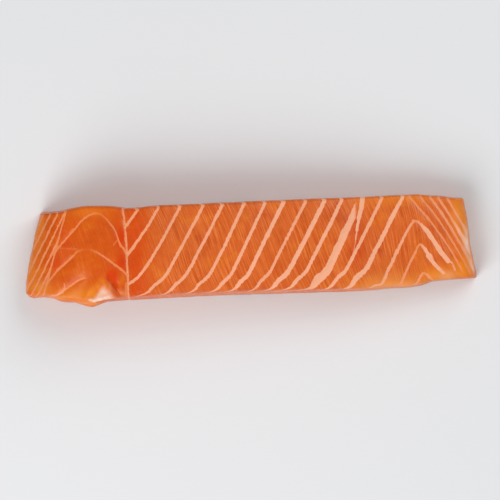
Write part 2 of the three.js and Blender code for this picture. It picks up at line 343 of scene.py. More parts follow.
    def place(self, block: Array) -> Array:
        """Take points from the sharp block to the portion.

        The underside's own points follow the rim that lies outwards of them, so that its cells
        stay even.

        Args:
            block: Points on the block's surface.

        Returns:
            The places on the smooth portion.
        """
        reach = np.maximum(np.abs(block[:, 0]) / self.half_length, np.abs(block[:, 1]) / self.half_width)
        inside = (block[:, 2] <= 0.0) & (reach < 1.0)
        share = np.where(inside, np.maximum(reach, self.least_reach), 1.0)[:, None]
        rim = block.copy()
        rim[:, :2] /= share
        moved = self.outline(self.round_edges(rim))
        return block + (moved - rim) * share


class Family(Enum):
    """The three families of fat sheets, from the back of the fish to its belly."""

    MARGIN = 0
    LOIN = 1
    BELLY = 2


class Lines(NamedTuple):
    """Where points lie among the sheets of one family, and how the fat shows there."""

    turn: Array
    spacing: Array
    slope: Array
    half_width: Array
    strength: Array


@dataclass(frozen=True)
class Sheets:
    """A family of fat sheets, as level curves from the near side to the far side.

    Heights, half widths and strengths have a row for each sheet, in rising order, and a column
    for each place or one for all places.
    """

    slope_step: float = 0.05
    beyond: float = 0.45

    def heights(self, x: Array) -> Array:
        """Give the height in Y of every sheet at places along the portion."""
        raise NotImplementedError

    def widths(self, x: Array) -> Array:
        """Give the half width of every sheet's line."""
        raise NotImplementedError

    def strengths(self, x: Array) -> Array:
        """Give how fully every sheet's line shows, from 0 to 1."""
        return np.ones((1, 1))

    def locate(self, x: Array, y: Array) -> Lines:
        """Find where points lie among the sheets.

        Args:
            x: Places along the portion.
            y: Places across it, at the level of the upper face.

        Returns:
            Their turns, spacing, slope, and the width and strength of the fat.
        """
        rows = self.heights(x)
        columns = np.arange(len(x))
        low = np.clip((rows <= y).sum(axis=0) - 1, 0, len(rows) - 2)
        gap = rows[low + 1, columns] - rows[low, columns]
        share = (y - rows[low, columns]) / gap
        rise = self.heights(x + self.slope_step) - self.heights(x - self.slope_step)
        slopes = rise / (2 * self.slope_step)
        slope = lerp(slopes[low, columns], slopes[low + 1, columns], np.clip(share, 0.0, 1.0))
        nearest = low + (share > MIDDLE)
        of_lines = (np.broadcast_to(values, rows.shape) for values in (self.widths(x), self.strengths(x)))
        half_width, strength = (values[nearest, columns] for values in of_lines)
        turn = low + np.clip(share, -self.beyond, 1.0 + self.beyond)
        return Lines(turn, gap / np.hypot(1.0, slope), slope, half_width, strength)


@dataclass(frozen=True)
class MarginSheets(Sheets):
    """Parallel sheets by the back edge."""

    x: float = -80.0
    slope: float = 1.89
    first: float = 13.2
    gaps: tuple[float, ...] = (5.2, 4.75, 4.9, 4.9, 4.35, 5.4)
    gap: float = 5.0
    count: int = 17
    above: int = 3
    half_width: float = 0.34

    def levels(self) -> Array:
        """Give the level of every sheet at the margin's own place, in rising order.

        Returns:
            The levels.
        """
        gaps = [*self.gaps, *[self.gap] * (self.count - len(self.gaps))]
        seen = self.first - np.concatenate([[0.0], np.cumsum(gaps)])
        return np.concatenate([seen[::-1], self.first + self.gap * np.arange(1, self.above)])

    def heights(self, x: Array) -> Array:
        """Give the height in Y of every sheet."""
        return self.levels()[:, None] + self.slope * (x - self.x)

    def widths(self, x: Array) -> Array:
        """Give the half width of every line."""
        return np.array([[self.half_width]])


@dataclass(frozen=True)
class Arch:
    """One arched sheet of the loin: its course, and where it is faint and where it ends."""

    course: Curve
    half_width: float
    faint_at: float
    faint_over: float
    faintness: float
    ends_at: float = 0.0
    ends_over: float = 3.0

    def strength(self, x: Array) -> Array:
        """Give how fully the arch shows: fainter over its crest, and gone past its end."""
        shown = 1.0 - self.faintness * bump(x - self.faint_at, self.faint_over)
        return shown * ease((self.ends_at - x) / self.ends_over)


@dataclass(frozen=True)
class LoinSheets(Sheets):
    """Arched sheets between the border sheet and the seam.

    The arches seen on the bone side come from the far side to the near side. Those below them
    are alike.
    """

    arches: tuple[Arch, ...] = (
        Arch(
            Curve(
                ((-95, -22), (-73.4, 3), (-67.6, 9), (-63.9, 13), (-58.6, 15.4), (-55.8, 14.2),
                 (-53.4, 11.6), (-51.3, 8), (-50.2, 3.8), (-48.5, 1.2), (-40, -14))
            ),
            0.37, -56.5, 3.4, 0.6,
        ),
        Arch(
            Curve(
                ((-95, -33), (-77.9, -10), (-74.5, -6), (-72.2, -4.1), (-69.7, -2), (-65.6, 1.3), (-63, 1.8),
                 (-60.4, 1.3), (-57.5, -0.3), (-52.8, -4), (-47.7, -8.5), (-40, -20))
            ),
            0.4, -62.6, 3.8, 0.92,
        ),
        Arch(
            Curve(
                ((-95, -38), (-77, -16), (-74.2, -14.9), (-69.9, -12.2), (-64.5, -9.3), (-60, -10),
                 (-40, -26))
            ),
            0.33, -64.0, 2.5, 0.0, -62.0,
        ),
    )
    lower_crest: float = -64.0
    lower_rise: float = 0.85
    lower_fall: float = 0.6
    lower_blunt: float = 3.0
    lower_first: float = -20.5
    lower_gap: float = 11.6
    lower_count: int = 6
    above_gap: float = 15.0

    def heights(self, x: Array) -> Array:
        """Give the height in Y of every arch.

        Args:
            x: Places along the portion.

        Returns:
            Rows of heights, in rising order.
        """
        away = x - self.lower_crest
        turned = np.sqrt(away * away + self.lower_blunt**2) - self.lower_blunt
        course = (self.lower_rise - self.lower_fall) / 2 * away
        course = course - (self.lower_rise + self.lower_fall) / 2 * turned
        firsts = self.lower_first - self.lower_gap * np.arange(self.lower_count)
        seen = [arch.course(x) for arch in self.arches]
        return np.stack([*(first + course for first in firsts[::-1]), *seen[::-1], seen[0] + self.above_gap])

    def widths(self, x: Array) -> Array:
        """Give the half width of every line."""
        seen = [arch.half_width for arch in self.arches]
        return np.array([*[seen[-1]] * self.lower_count, *seen[::-1], seen[0]])[:, None]

    def strengths(self, x: Array) -> Array:
        """Give how fully every line shows."""
        seen = [arch.strength(x) for arch in self.arches[::-1]]
        return np.stack([*[np.ones(len(x))] * self.lower_count, *seen, np.ones(len(x))])


@dataclass(frozen=True)
class BellyLine:
    """One belly sheet's line: the widths and slopes of its legs, and where the right one ends.

    The right leg starts narrow and has its full width from full_at on. The left leg is missing from
    stops_at up to the crest. A place beyond the portion's end means nowhere.
    """

    left: float
    right: float
    ends_at: float = BEYOND
    blunt: float = 0.8
    full_at: float = 69.5
    rise: float = 1.83
    fall: float = 1.18
    stops_at: float = BEYOND


@dataclass(frozen=True)
class BellySheets(Sheets):
    """Sheets that run up in long slanting lines and turn back in a point near the belly edge."""

    steepen: float = 1.14
    steepen_at: float = 75.7
    steepen_over: float = 4.5
    settle: float = 0.75
    settle_at: float = -38.0
    settle_over: float = 3.0
    foot: float = 0.6
    foot_y: float = -10.4
    foot_x: float = 44.0
    foot_lean: float = 1.2
    foot_depth: float = 8.0
    foot_over: float = 1.2
    sway: float = 0.9
    sway_turns: float = 0.13
    sway_ends: float = 36.0
    crest_line: Curve = Curve(
        ((-75, 71), (-11.9, 65.7), (-1.0, 64.6), (8.5, 63), (18, 59.9), (26.6, 56.9), (35.6, 53.1),
         (42.9, 50.5), (51, 48.2), (140, 14))
    )
    first: float = -11.9
    gaps: tuple[float, ...] = (10.9, 8.9, 10.2, 8.5, 9.0, 7.3, 8.1)
    gap: float = 7.7
    gap_change: float = 0.8
    gap_turns: float = 2.2
    count: int = 20
    lower_gap: float = 10.8
    lower_count: int = 7
    seen: tuple[BellyLine, ...] = (
        BellyLine(1.1, 1.1, 69.5, 1.2, rise=2.4, fall=1.6),
        BellyLine(0.9, 2.0, 69.6, 0.6, rise=2.08, fall=1.36),
        BellyLine(1.15, 2.0, 73.0, 2.0, rise=2.0, fall=1.4),
        BellyLine(1.65, 0.8, 80.5),
        BellyLine(1.2, 0.75, 83.5),
        BellyLine(2.5, 1.3, full_at=86.0, rise=1.93, stops_at=40.6),
        BellyLine(1.2, 1.7, full_at=82.5),
        BellyLine(1.5, 1.5, full_at=84.0),
        BellyLine(1.0, 0.8, 75.0),
        BellyLine(1.3, 0.8, 75.0),
    )
    later: BellyLine = BellyLine(1.1, 0.8, 75.0)
    thinnest: float = 0.75
    narrow: float = 0.95
    widens_over: float = 6.0
    ends_over: float = 1.2
    crest_thin: float = 0.15
    crest_reach: float = 1.6
    crest_share: float = 0.9
    thicken: float = 0.012
    thickens_over: float = 20.0

    def crests(self) -> Array:
        """Give the height of every crest, in rising order.

        Returns:
            The heights.
        """
        later = self.gap + self.gap_change * np.sin(self.gap_turns * np.arange(self.count - len(self.gaps)))
        upper = self.first + np.concatenate([[0.0], np.cumsum([*self.gaps, *later])])
        lower = self.first - self.lower_gap * np.arange(self.lower_count, 0, -1)
        return np.concatenate([lower, upper])

    def column(self, name: str) -> Array:
        """Give one value of every line, in a column that follows the crests.

        Args:
            name: The value's name in BellyLine.

        Returns:
            The column.
        """
        thinner = np.linspace(self.later.left, self.thinnest, self.count + 1 - len(self.seen))
        later = [replace(self.later, left=width) for width in thinner]
        lines = [self.seen[1]] * self.lower_count + [*self.seen, *later]
        return np.array([getattr(line, name) for line in lines])[:, None]

    def past_crest(self, x: Array) -> Array:
        """Give how far places lie past every sheet's crest."""
        return x - self.crest_line(self.crests()[:, None])

    def heights(self, x: Array) -> Array:
        """Give the height in Y of every sheet.

        Args:
            x: Places along the portion.

        Returns:
            Rows of heights, in rising order.
        """
        away = self.past_crest(x)
        blunt, rise, fall = (self.column(name) for name in ("blunt", "rise", "fall"))
        turned = np.sqrt(away * away + blunt**2) - blunt
        rows = self.crests()[:, None] - (rise + fall) / 2 * turned + (rise - fall) / 2 * away
        sway = self.sway * np.sin(self.sway_turns * x) * ease((self.sway_ends - x) / self.sway_ends)
        rows = rows + sway + self.settle * bend(-x, -self.settle_at, self.settle_over)
        low = self.foot_y - self.foot_lean * np.maximum(x - self.foot_x, 0.0) - rows
        below = bend(low, 0.0, self.foot_over) - bend(low, self.foot_depth, self.foot_over)
        return rows + self.foot * below - self.steepen * bend(x, self.steepen_at, self.steepen_over)

    def widths(self, x: Array) -> Array:
        """Give the half width of every line: thin at its crest, and wider down its legs.

        Args:
            x: Places along the portion.

        Returns:
            Rows of half widths.
        """
        away = self.past_crest(x)
        left, right, full_at = (self.column(name) for name in ("left", "right", "full_at"))
        widened = ease((x - full_at) / self.widens_over + 1.0)
        right = lerp(np.minimum(right, self.narrow), right, widened)
        width = lerp(left, right, ease(away / self.crest_reach + MIDDLE))
        width = width * (1.0 - self.crest_thin * bump(away, self.crest_reach))
        return width / 2 * (self.crest_share + self.thicken * np.clip(-away, 0.0, self.thickens_over))

    def strengths(self, x: Array) -> Array:
        """Give how fully every line shows."""
        missing = ease((x - self.column("stops_at")) / self.ends_over + MIDDLE) * (self.past_crest(x) < 0)
        return ease((self.column("ends_at") - x) / self.ends_over + MIDDLE) * (1.0 - missing)


@dataclass(frozen=True)
class Lean:
    """How far the sheets have gone along the fish at a depth below the upper face."""

    rate: Curve = Curve(((-86, 0.25), (-74, 0.6), (-62, 1.2), (68, 1.2), (80, 0.3)))
    ease: float = 40.0
    narrowest: float = 0.3
    widest: float = 1.2

    def shift(self, x: Array, depth: Array) -> Array:
        """Give the way gone along Y at places along the portion and depths below its upper face."""
        return self.rate(x) * depth * (1.0 + depth / self.ease)

    def facing(self, x: Array, depth: Array, slope: Array, normals: Array) -> Array:
        """Give how much narrower a line is drawn so that it looks even on a tilted face.

        Args:
            x: Places along the portion.
            depth: Depths below the upper face.
            slope: Slopes of the sheets in plan.
            normals: The surface's normals.

        Returns:
            Factors of the width in plan, 1 on the upper face.
        """
        through = self.rate(x) * (1.0 + 2.0 * depth / self.ease)
        climb = np.stack([-slope, np.ones(len(x)), through], axis=1)
        along_normal = (climb * normals).sum(axis=1)
        on_surface = np.maximum((climb * climb).sum(axis=1) - along_normal**2, 0.0)
        return np.clip(np.sqrt(on_surface) / np.hypot(1.0, slope), self.narrowest, self.widest)


class Pattern(NamedTuple):
    """All that the pattern of muscle blocks gives at the portion's points.

    The lines of each family come first, and then those of the family that each point is in.
    """

    families: tuple[Lines, ...]
    own: Lines
    family: Array
    border: Array
    seam: Array
    fat_distance: Array
    block: Array
    facing: Array
    lean: Array


@dataclass(frozen=True)
class Muscle:
    """The muscle blocks: three families of sheets with a border sheet and a seam between them."""

    margin: MarginSheets = MarginSheets()
    loin: LoinSheets = LoinSheets()
    belly: BellySheets = BellySheets()
    lean: Lean = Lean()
    border_x: float = -75.25
    border_lean: float = 0.31
    seam_x: float = -47.5
    seam_bow: float = 0.0032
    wavers: tuple[Unevenness, ...] = (Unevenness(11, 5.0, 2, 0.1), Unevenness(23, 5.0, 2, 0.1))
    fades_over: float = 3.0
    family_step: int = 100

    def pattern(self, points: Array, normals: Array, form: Form) -> Pattern:
        """Find where points lie in the pattern.

        Args:
            points: Points on the smooth portion.
            normals: Their normals.
            form: The portion's form, which gives their depth.

        Returns:
            The pattern at those points.
        """
        wavers = [waver(points) for waver in self.wavers]
        depth = form.depth(points)
        lean = self.lean.shift(points[:, 0], depth)
        x = points[:, 0] + wavers[0]
        y = points[:, 1] + wavers[1] - lean
        border = (x - self.border_x - self.border_lean * y) / math.hypot(1.0, self.border_lean)
        seam = x - self.seam_x + self.seam_bow * np.clip(y, 0.0, None) ** 2
        past_border = np.where(seam < 0, Family.LOIN.value, Family.BELLY.value)
        family = np.where(border < 0, Family.MARGIN.value, past_border)
        families = tuple(sheets.locate(x, y) for sheets in (self.margin, self.loin, self.belly))
        own = Lines(*(np.choose(family, values) for values in zip(*families)))
        nearest = np.abs(own.turn - np.round(own.turn)) * own.spacing
        nearest = nearest + self.fades_over * (1.0 - own.strength)
        fat_distance = np.minimum(nearest, np.minimum(np.abs(border), np.abs(seam)))
        block = np.floor(own.turn) + self.family_step * family
        facing = self.lean.facing(points[:, 0], depth, own.slope, normals)
        return Pattern(families, own, family, border, seam, fat_distance, block, facing, lean)


@dataclass(frozen=True)
class Stroke:
    """A short groove, ridge, rim or branch of fat on the upper face, or a line of painted shade, from one
    place to another.
    """

    start: Place
    end: Place
    half_width: float
    amount: float

    def height(self, points: Array) -> Array:
        """Give a soft ridge along the stroke, in plan.

        Args:
            points: Points on the portion.

        Returns:
            Its height at each point, the amount on the stroke itself.
        """
        way = np.subtract(self.end, self.start)
        offset = points[:, :2] - np.array(self.start)
        along = np.clip(offset @ way / (way @ way), 0.0, 1.0)
        distance = np.linalg.norm(offset - along[:, None] * way, axis=1)
        return self.amount * bump(distance, self.half_width)


def strokes_of(*rows: tuple[Place, Place, float, float]) -> tuple[Stroke, ...]:
    """Give a stroke for each row of its start, end, half width and amount."""
    return tuple(Stroke(*row) for row in rows)


@dataclass(frozen=True)
class Relief:
    """What stands in or out of the smooth form."""

    groove_depth: float = 0.16
    groove_width: float = 0.8
    pillow_height: float = 0.26
    pillow_width: float = 2.4
    cut_share: float = 0.4
    ends_below: float = 3.0
    trough_depth: float = 0.8
    trough_width: float = 2.3
    trough_off_seam: float = 2.6
    marks: tuple[Stroke, ...] = strokes_of(
        ((-54.4, -8.6), (-52.4, -12.2), 1.5, -0.8), ((-52.8, -11.6), (-50.2, -17.0), 0.8, -0.6),
        ((-56.0, -10.0), (-53.0, -16.4), 0.9, 0.35), ((-57.8, -14.4), (-57.0, -15.6), 1.9, -0.5),
        ((-60.6, -11.2), (-63.4, -16.4), 1.5, 0.4), ((-62.0, -17.2), (-60.4, -17.7), 0.6, 0.5),
        ((-60.4, -17.7), (-57.8, -17.1), 0.6, 0.5), ((-57.8, -17.1), (-54.6, -16.4), 0.6, 0.4),
    )
    ragged: Unevenness = Unevenness(31, 1.8, 3, 0.16)
    lumps: Unevenness = Unevenness(41, 6.5, 2, 0.12)
    grain: Unevenness = Unevenness(51, 1.6, 2, 0.05)
    knife: Unevenness = Unevenness(61, 2.6, 1, 0.05)
    knife_way: tuple[float, float, float] = (0.25, 1.0, 1.0)

    def height(self, points: Array, normals: Array, pattern: Pattern) -> Array:
        """Give how far each point stands out along its normal.

        Args:
            points: Points on the smooth portion.
            normals: Their normals.
            pattern: The muscle pattern there.

        Returns:
            Heights in millimetres.
        """
        upward = ease(normals[:, 2])
        away = pattern.fat_distance
        blocks = self.pillow_height * (1.0 - np.exp(-away / self.pillow_width))
        blocks = blocks - self.groove_depth * bump(away, self.groove_width)
        seam = bump(pattern.seam - self.trough_off_seam, self.trough_width)
        ragged = self.ragged(points) * seam
        marks = sum(mark.height(points) for mark in self.marks)
        total = blocks * lerp(self.cut_share, 1.0, upward) + self.lumps(points) + self.grain(points)
        total = total + self.knife(points * self.knife_way) * (1.0 - upward)
        total = total + (ragged + marks - self.trough_depth * seam) * upward
        return total * ease(points[:, 2] / self.ends_below)


@dataclass(frozen=True)
class Tint:
    """A soft patch of another tint on the upper face."""

    x: float
    y: float
    wide: float
    deep: float
    amount: float

    def share(self, points: Array) -> Array:
        """Give how much of the tint each point has."""
        offset = (points[:, :2] - (self.x, self.y)) / (self.wide, self.deep)
        return self.amount * np.exp(-(offset**2).sum(axis=1))


def tints_of(*rows: tuple[float, float, float, float, float]) -> tuple[Tint, ...]:
    """Give a tint for each row of its X, Y, reach along and across the portion, and amount."""
    return tuple(Tint(*row) for row in rows)


@dataclass(frozen=True)
class Fold:
    """The pale patch that shows in the loose fold, with three sides."""

    corners: tuple[Place, ...] = ((-56.9, -11.0), (-62.4, -18.2), (-50.4, -17.5))
    softness: tuple[float, ...] = (1.7, 0.5, 2.8)
    fullness: float = 0.66
    rim: tuple[Stroke, ...] = strokes_of(
        ((-62.1, -17.4), (-60.4, -17.8), 0.5, 0.7), ((-60.4, -17.8), (-58.0, -17.2), 0.5, 0.6),
        ((-58.0, -17.2), (-55.0, -16.9), 0.45, 0.3), ((-55.0, -16.9), (-52.4, -17.2), 0.4, 0.2),
    )

    def share(self, points: Array) -> Array:
        """Give how far each point lies in the patch.

        Args:
            points: Points on the portion.

        Returns:
            Shares from 0 to 1.
        """
        inside = np.ones(len(points))
        for i, soft in enumerate(self.softness):
            start = np.array(self.corners[i])
            way = np.subtract(self.corners[(i + 1) % len(self.corners)], start)
            offset = points[:, :2] - start
            depth = (way[0] * offset[:, 1] - way[1] * offset[:, 0]) / np.hypot(*way)
            inside *= ease(depth / soft)
        rim = np.max([stroke.height(points) for stroke in self.rim], axis=0)
        return np.clip(self.fullness * inside + rim, 0.0, 1.0)


@dataclass(frozen=True)
class Tints:
    """Where the flesh is redder, more golden, peach or pale, with painted shade in the tear's crease and
    painted light on some rims among them, and the pale patch of the fold.
    """

    # The four red patches along the tear, from (-53.6, -7.9) to (-51.9, -13.6), are painted shade that
    # deepens its crease; the other red patches are redder flesh.
    red: tuple[Tint, ...] = tints_of(
        (-49.6, 6.0, 1.7, 4.5, 1.0), (-49.8, -4.0, 1.9, 3.6, 1.0), (-53.6, -7.9, 2.2, 2.0, 1.3),
        (-53.9, -9.8, 1.8, 1.4, 1.2), (-52.7, -11.8, 0.9, 1.6, 1.1), (-51.9, -13.6, 0.6, 1.6, 0.9),
        (-74.2, -3.4, 1.8, 3.0, 0.7), (-70.5, 4.0, 2.0, 2.0, 0.5), (-71.5, 9.5, 1.6, 4.0, 0.4),
        (-44.0, 0.0, 4.0, 30.0, 0.5), (40.5, 0.0, 3.0, 9.0, 0.45),
    )
    # The two long gold patches on the back edge, at (-81.8, 8.0) and (-84.5, -6.0), are partly painted light
    # that lifts the shaded slope there.
    gold: tuple[Tint, ...] = tints_of(
        (-66.0, -15.5, 9.0, 3.4, 0.9), (-57.2, -10.4, 1.2, 1.3, 0.45), (-59.0, -12.6, 1.2, 1.6, 0.55),
        (-61.2, -15.2, 1.3, 1.8, 0.7), (-61.4, -19.2, 2.6, 1.0, 1.0), (-49.5, -10.4, 1.1, 1.8, 0.4),
        (-80.2, 13.6, 2.0, 3.6, 0.7), (-80.5, -12.5, 4.0, 2.6, 0.9), (-62.0, 16.5, 8.0, 2.6, 0.5),
        (-81.8, 8.0, 2.8, 8.0, 0.7), (-84.5, -6.0, 2.4, 8.0, 0.8), (54.0, -17.0, 16.0, 4.2, 0.9),
        (70.0, -13.0, 4.5, 2.6, 0.9), (81.0, -11.5, 4.5, 4.0, 1.0), (80.0, 11.0, 3.4, 8.0, 0.9),
        (83.0, 0.0, 2.2, 9.0, 1.0), (58.0, 16.5, 16.0, 2.8, 0.6),
    )
    # The seven narrow peach patches along the back edge's outline, from (-86.6, -12.0) to (-81.4, 12.0),
    # draw a thin light rim: a painted highlight. The others are paler thin flesh by the edges.
    peach: tuple[Tint, ...] = tints_of(
        (81.8, 12.0, 1.2, 3.0, 0.3), (79.2, 9.5, 2.6, 4.0, 0.22), (83.2, 2.5, 1.6, 4.0, 1.0),
        (84.4, -6.0, 1.5, 6.0, 1.0), (74.5, -14.5, 4.5, 1.8, 0.7), (75.0, -12.9, 3.0, 1.6, 0.4),
        (56.0, -17.4, 14.0, 1.9, 0.85), (51.0, -13.8, 9.0, 2.4, 0.26), (-79.0, -16.2, 7.0, 0.9, 0.8),
        (-86.6, -12.0, 0.8, 2.4, 0.9), (-86.2, -8.0, 0.6, 2.4, 0.8), (-85.3, -4.0, 0.6, 2.4, 0.7),
        (-84.4, 0.0, 0.6, 2.4, 0.7), (-80.5, -11.0, 3.2, 3.0, 0.22), (-83.5, 4.0, 0.6, 2.4, 0.5),
        (-82.3, 8.0, 0.6, 2.4, 0.4), (-81.4, 12.0, 0.6, 2.4, 0.3), (-65.0, -18.2, 4.0, 0.9, 0.4),
        (-54.3, -13.4, 0.7, 1.8, 0.4), (-49.2, -15.6, 1.4, 1.2, 0.5),
    )
    # The pale patches brighten the rim of the belly end: partly the pale thin edge, and partly painted light
    # where that slope lies in shade.
    pale: tuple[Tint, ...] = tints_of(
        (85.0, -7.5, 0.9, 4.0, 0.8), (85.4, -11.5, 0.8, 2.4, 0.5), (83.2, -1.5, 1.4, 3.4, 0.9),
    )
    fold: Fold = Fold()

    def shares(self, points: Array) -> tuple[Array, ...]:
        """Give the share of the red, gold, peach and pale tints at each point.

        Args:
            points: Points on the portion.

        Returns:
            The four shares, with the pale patch of the fold among the pale ones.
        """
        lists = (self.red, self.gold, self.peach, self.pale)
        *others, pale = (sum(tint.share(points) for tint in patches) for patches in lists)
        return tuple(np.clip(share, 0.0, 1.0) for share in (*others, pale + self.fold.share(points)))


@dataclass(frozen=True)
class Fibres:
    """The way the muscle fibres run over the surface."""

    lean: Curve = Curve(((-47, 0.22), (20, 0.26), (48, 0.2), (60, 0.06), (68, 0.16), (76, 0.4), (84, 0.6)))
    fan: float = 0.006
    follow: float = 0.2

    def across(self, points: Array, shift: Array) -> Array:
        """Give how far across the fibres points lie, from the way that the sheets have gone there."""
        x, y, _ = points.T
        return x + self.lean(x) * (y - shift * self.follow) + self.fan * y * np.abs(y)


@dataclass(frozen=True)
class DarkMuscle:
    """The brown muscle along the middle of the side, just inside the skin."""

    x: float = -4.0
    half_width: float = 14.0
    depth: float = 4.2
    lean: float = -0.12
    wander: Unevenness = Unevenness(71, 6.0, 2, 1.6)
    ragged: Unevenness = Unevenness(73, 4.0, 2, 0.35)
    fades_over: float = 2.8
    fades_from: float = 0.25

    def share(self, points: Array) -> Array:
        """Give how much of the dark muscle shows at each point.

        Args:
            points: Points on the portion.

        Returns:
            Shares from 0 to 1.
        """
        middle = self.x + self.lean * points[:, 1] + self.wander(points)
        across = np.abs(points[:, 0] - middle) / self.half_width
        roof = self.depth * (1.0 - across) + self.ragged(points)
        return ease((roof - points[:, 2]) / self.fades_over + self.fades_from)


@dataclass(frozen=True)
class Cells:
    """How many cells the block has along each side, and how they crowd towards its top and foot."""

    length: int = 344
    width: int = 76
    height: int = 36
    crowding: float = 0.6


class Block:
    """The grid of the sharp block: its points on the surface, and its faces in quads."""

    def __init__(self, cells: Cells, form: Form) -> None:
        """Lay out the grid.

        Args:
            cells: Numbers of cells.
            form: The form, which gives the block's size.
        """
        counts = (cells.length + 1, cells.width + 1, cells.height + 1)
        on_surface = np.ones(counts, bool)
        on_surface[1:-1, 1:-1, 1:-1] = False
        self.ids = np.full(counts, -1)
        self.ids[on_surface] = np.arange(on_surface.sum())
        along, across, up = (np.argwhere(on_surface) / (cells.length, cells.width, cells.height)).T
        x = (2 * along - 1) * form.half_length
        y = (2 * across - 1) * form.half_width
        rows = up - cells.crowding * np.sin(math.tau * up) / math.tau
        self.points = np.stack([x, y, rows * form.height], axis=1)

    @property
    def quads(self) -> Array:
        """Give the corners of every quad, turned so that the faces point out.

        Returns:
            Four corners a row.
        """
        ids = self.ids
        sides = [
            (ids[:, :, -1], False), (ids[:, :, 0], True),
            (ids[:, 0, :], False), (ids[:, -1, :], True),
            (ids[-1, :, :], False), (ids[0, :, :], True),
        ]
        return np.concatenate([self._side(grid, turned) for grid, turned in sides])

    @staticmethod
    def _side(grid: Array, turned: bool) -> Array:
        """Give the quads of one side.

        Args:
            grid: The point numbers of that side.
            turned: Whether its corners go the other way round.

        Returns:
            Four corners a row.
        """
        corners = [grid[:-1, :-1], grid[1:, :-1], grid[1:, 1:], grid[:-1, 1:]]
        quads = np.stack([corner.ravel() for corner in corners], axis=1)
        return quads[:, ::-1] if turned else quads


def normals_of(points: Array, quads: Array) -> Array:
    """Give the normal of a surface at its points.

    Args:
        points: The points, one a row.
        quads: The corners of the faces.

    Returns:
        Unit normals, one a row.
    """
    corners = points[quads]
    faces = np.cross(corners[:, 2] - corners[:, 0], corners[:, 3] - corners[:, 1])
    shares = [np.repeat(axis, quads.shape[1]) for axis in faces.T]
    total = np.stack([np.bincount(quads.ravel(), share, len(points)) for share in shares], axis=1)
    return total / np.maximum(np.linalg.norm(total, axis=1, keepdims=True), TINY)


class Socket:
    """A value in a node tree that takes part in arithmetic."""

    def __init__(self, board: Board, socket: bpy.types.NodeSocket) -> None:
        """Wrap a node's output on its board."""
        self.board = board
        self.socket = socket

    def __add__(self, other: Input) -> Socket:
        """Add a value."""
        return self.board.math("ADD", self, other)

    def __radd__(self, other: Input) -> Socket:
        """Add to a value."""
        return self.board.math("ADD", other, self)

    def __sub__(self, other: Input) -> Socket:
        """Take a value away."""
        return self.board.math("SUBTRACT", self, other)

    def __rsub__(self, other: Input) -> Socket:
        """Take away from a value."""
        return self.board.math("SUBTRACT", other, self)

    def __mul__(self, other: Input) -> Socket:
        """Multiply by a value."""
        return self.board.math("MULTIPLY", self, other)

    def __rmul__(self, other: Input) -> Socket:
        """Multiply a value."""
        return self.board.math("MULTIPLY", other, self)

    def __truediv__(self, other: Input) -> Socket:
        """Divide by a value."""
        return self.board.math("DIVIDE", self, other)

    def __rtruediv__(self, other: Input) -> Socket:
        """Divide a value."""
        return self.board.math("DIVIDE", other, self)

    def __abs__(self) -> Socket:
        """Give the value without its sign."""
        return self.board.math("ABSOLUTE", self)

    def __lt__(self, other: Input) -> Socket:
        """Give 1 where this is less than a value, and 0 elsewhere."""
        return self.board.math("LESS_THAN", self, other)


Input = Union[Socket, float, tuple[float, ...]]
Inputs = dict[Union[str, int], Input]
Settings = dict[str, object]


def vary(noise: Socket, amount: float) -> Socket:
    """Give a factor that goes up and down about 1, by half an amount, with a noise."""
    return 1.0 - amount / 2 + amount * noise


@dataclass(frozen=True)
class Grain:
    """A smooth noise of about 0 to 1: its bumps for each unit of length, and its finer layers."""

    scale: float
    detail: float = 2.0
    roughness: float = 0.5


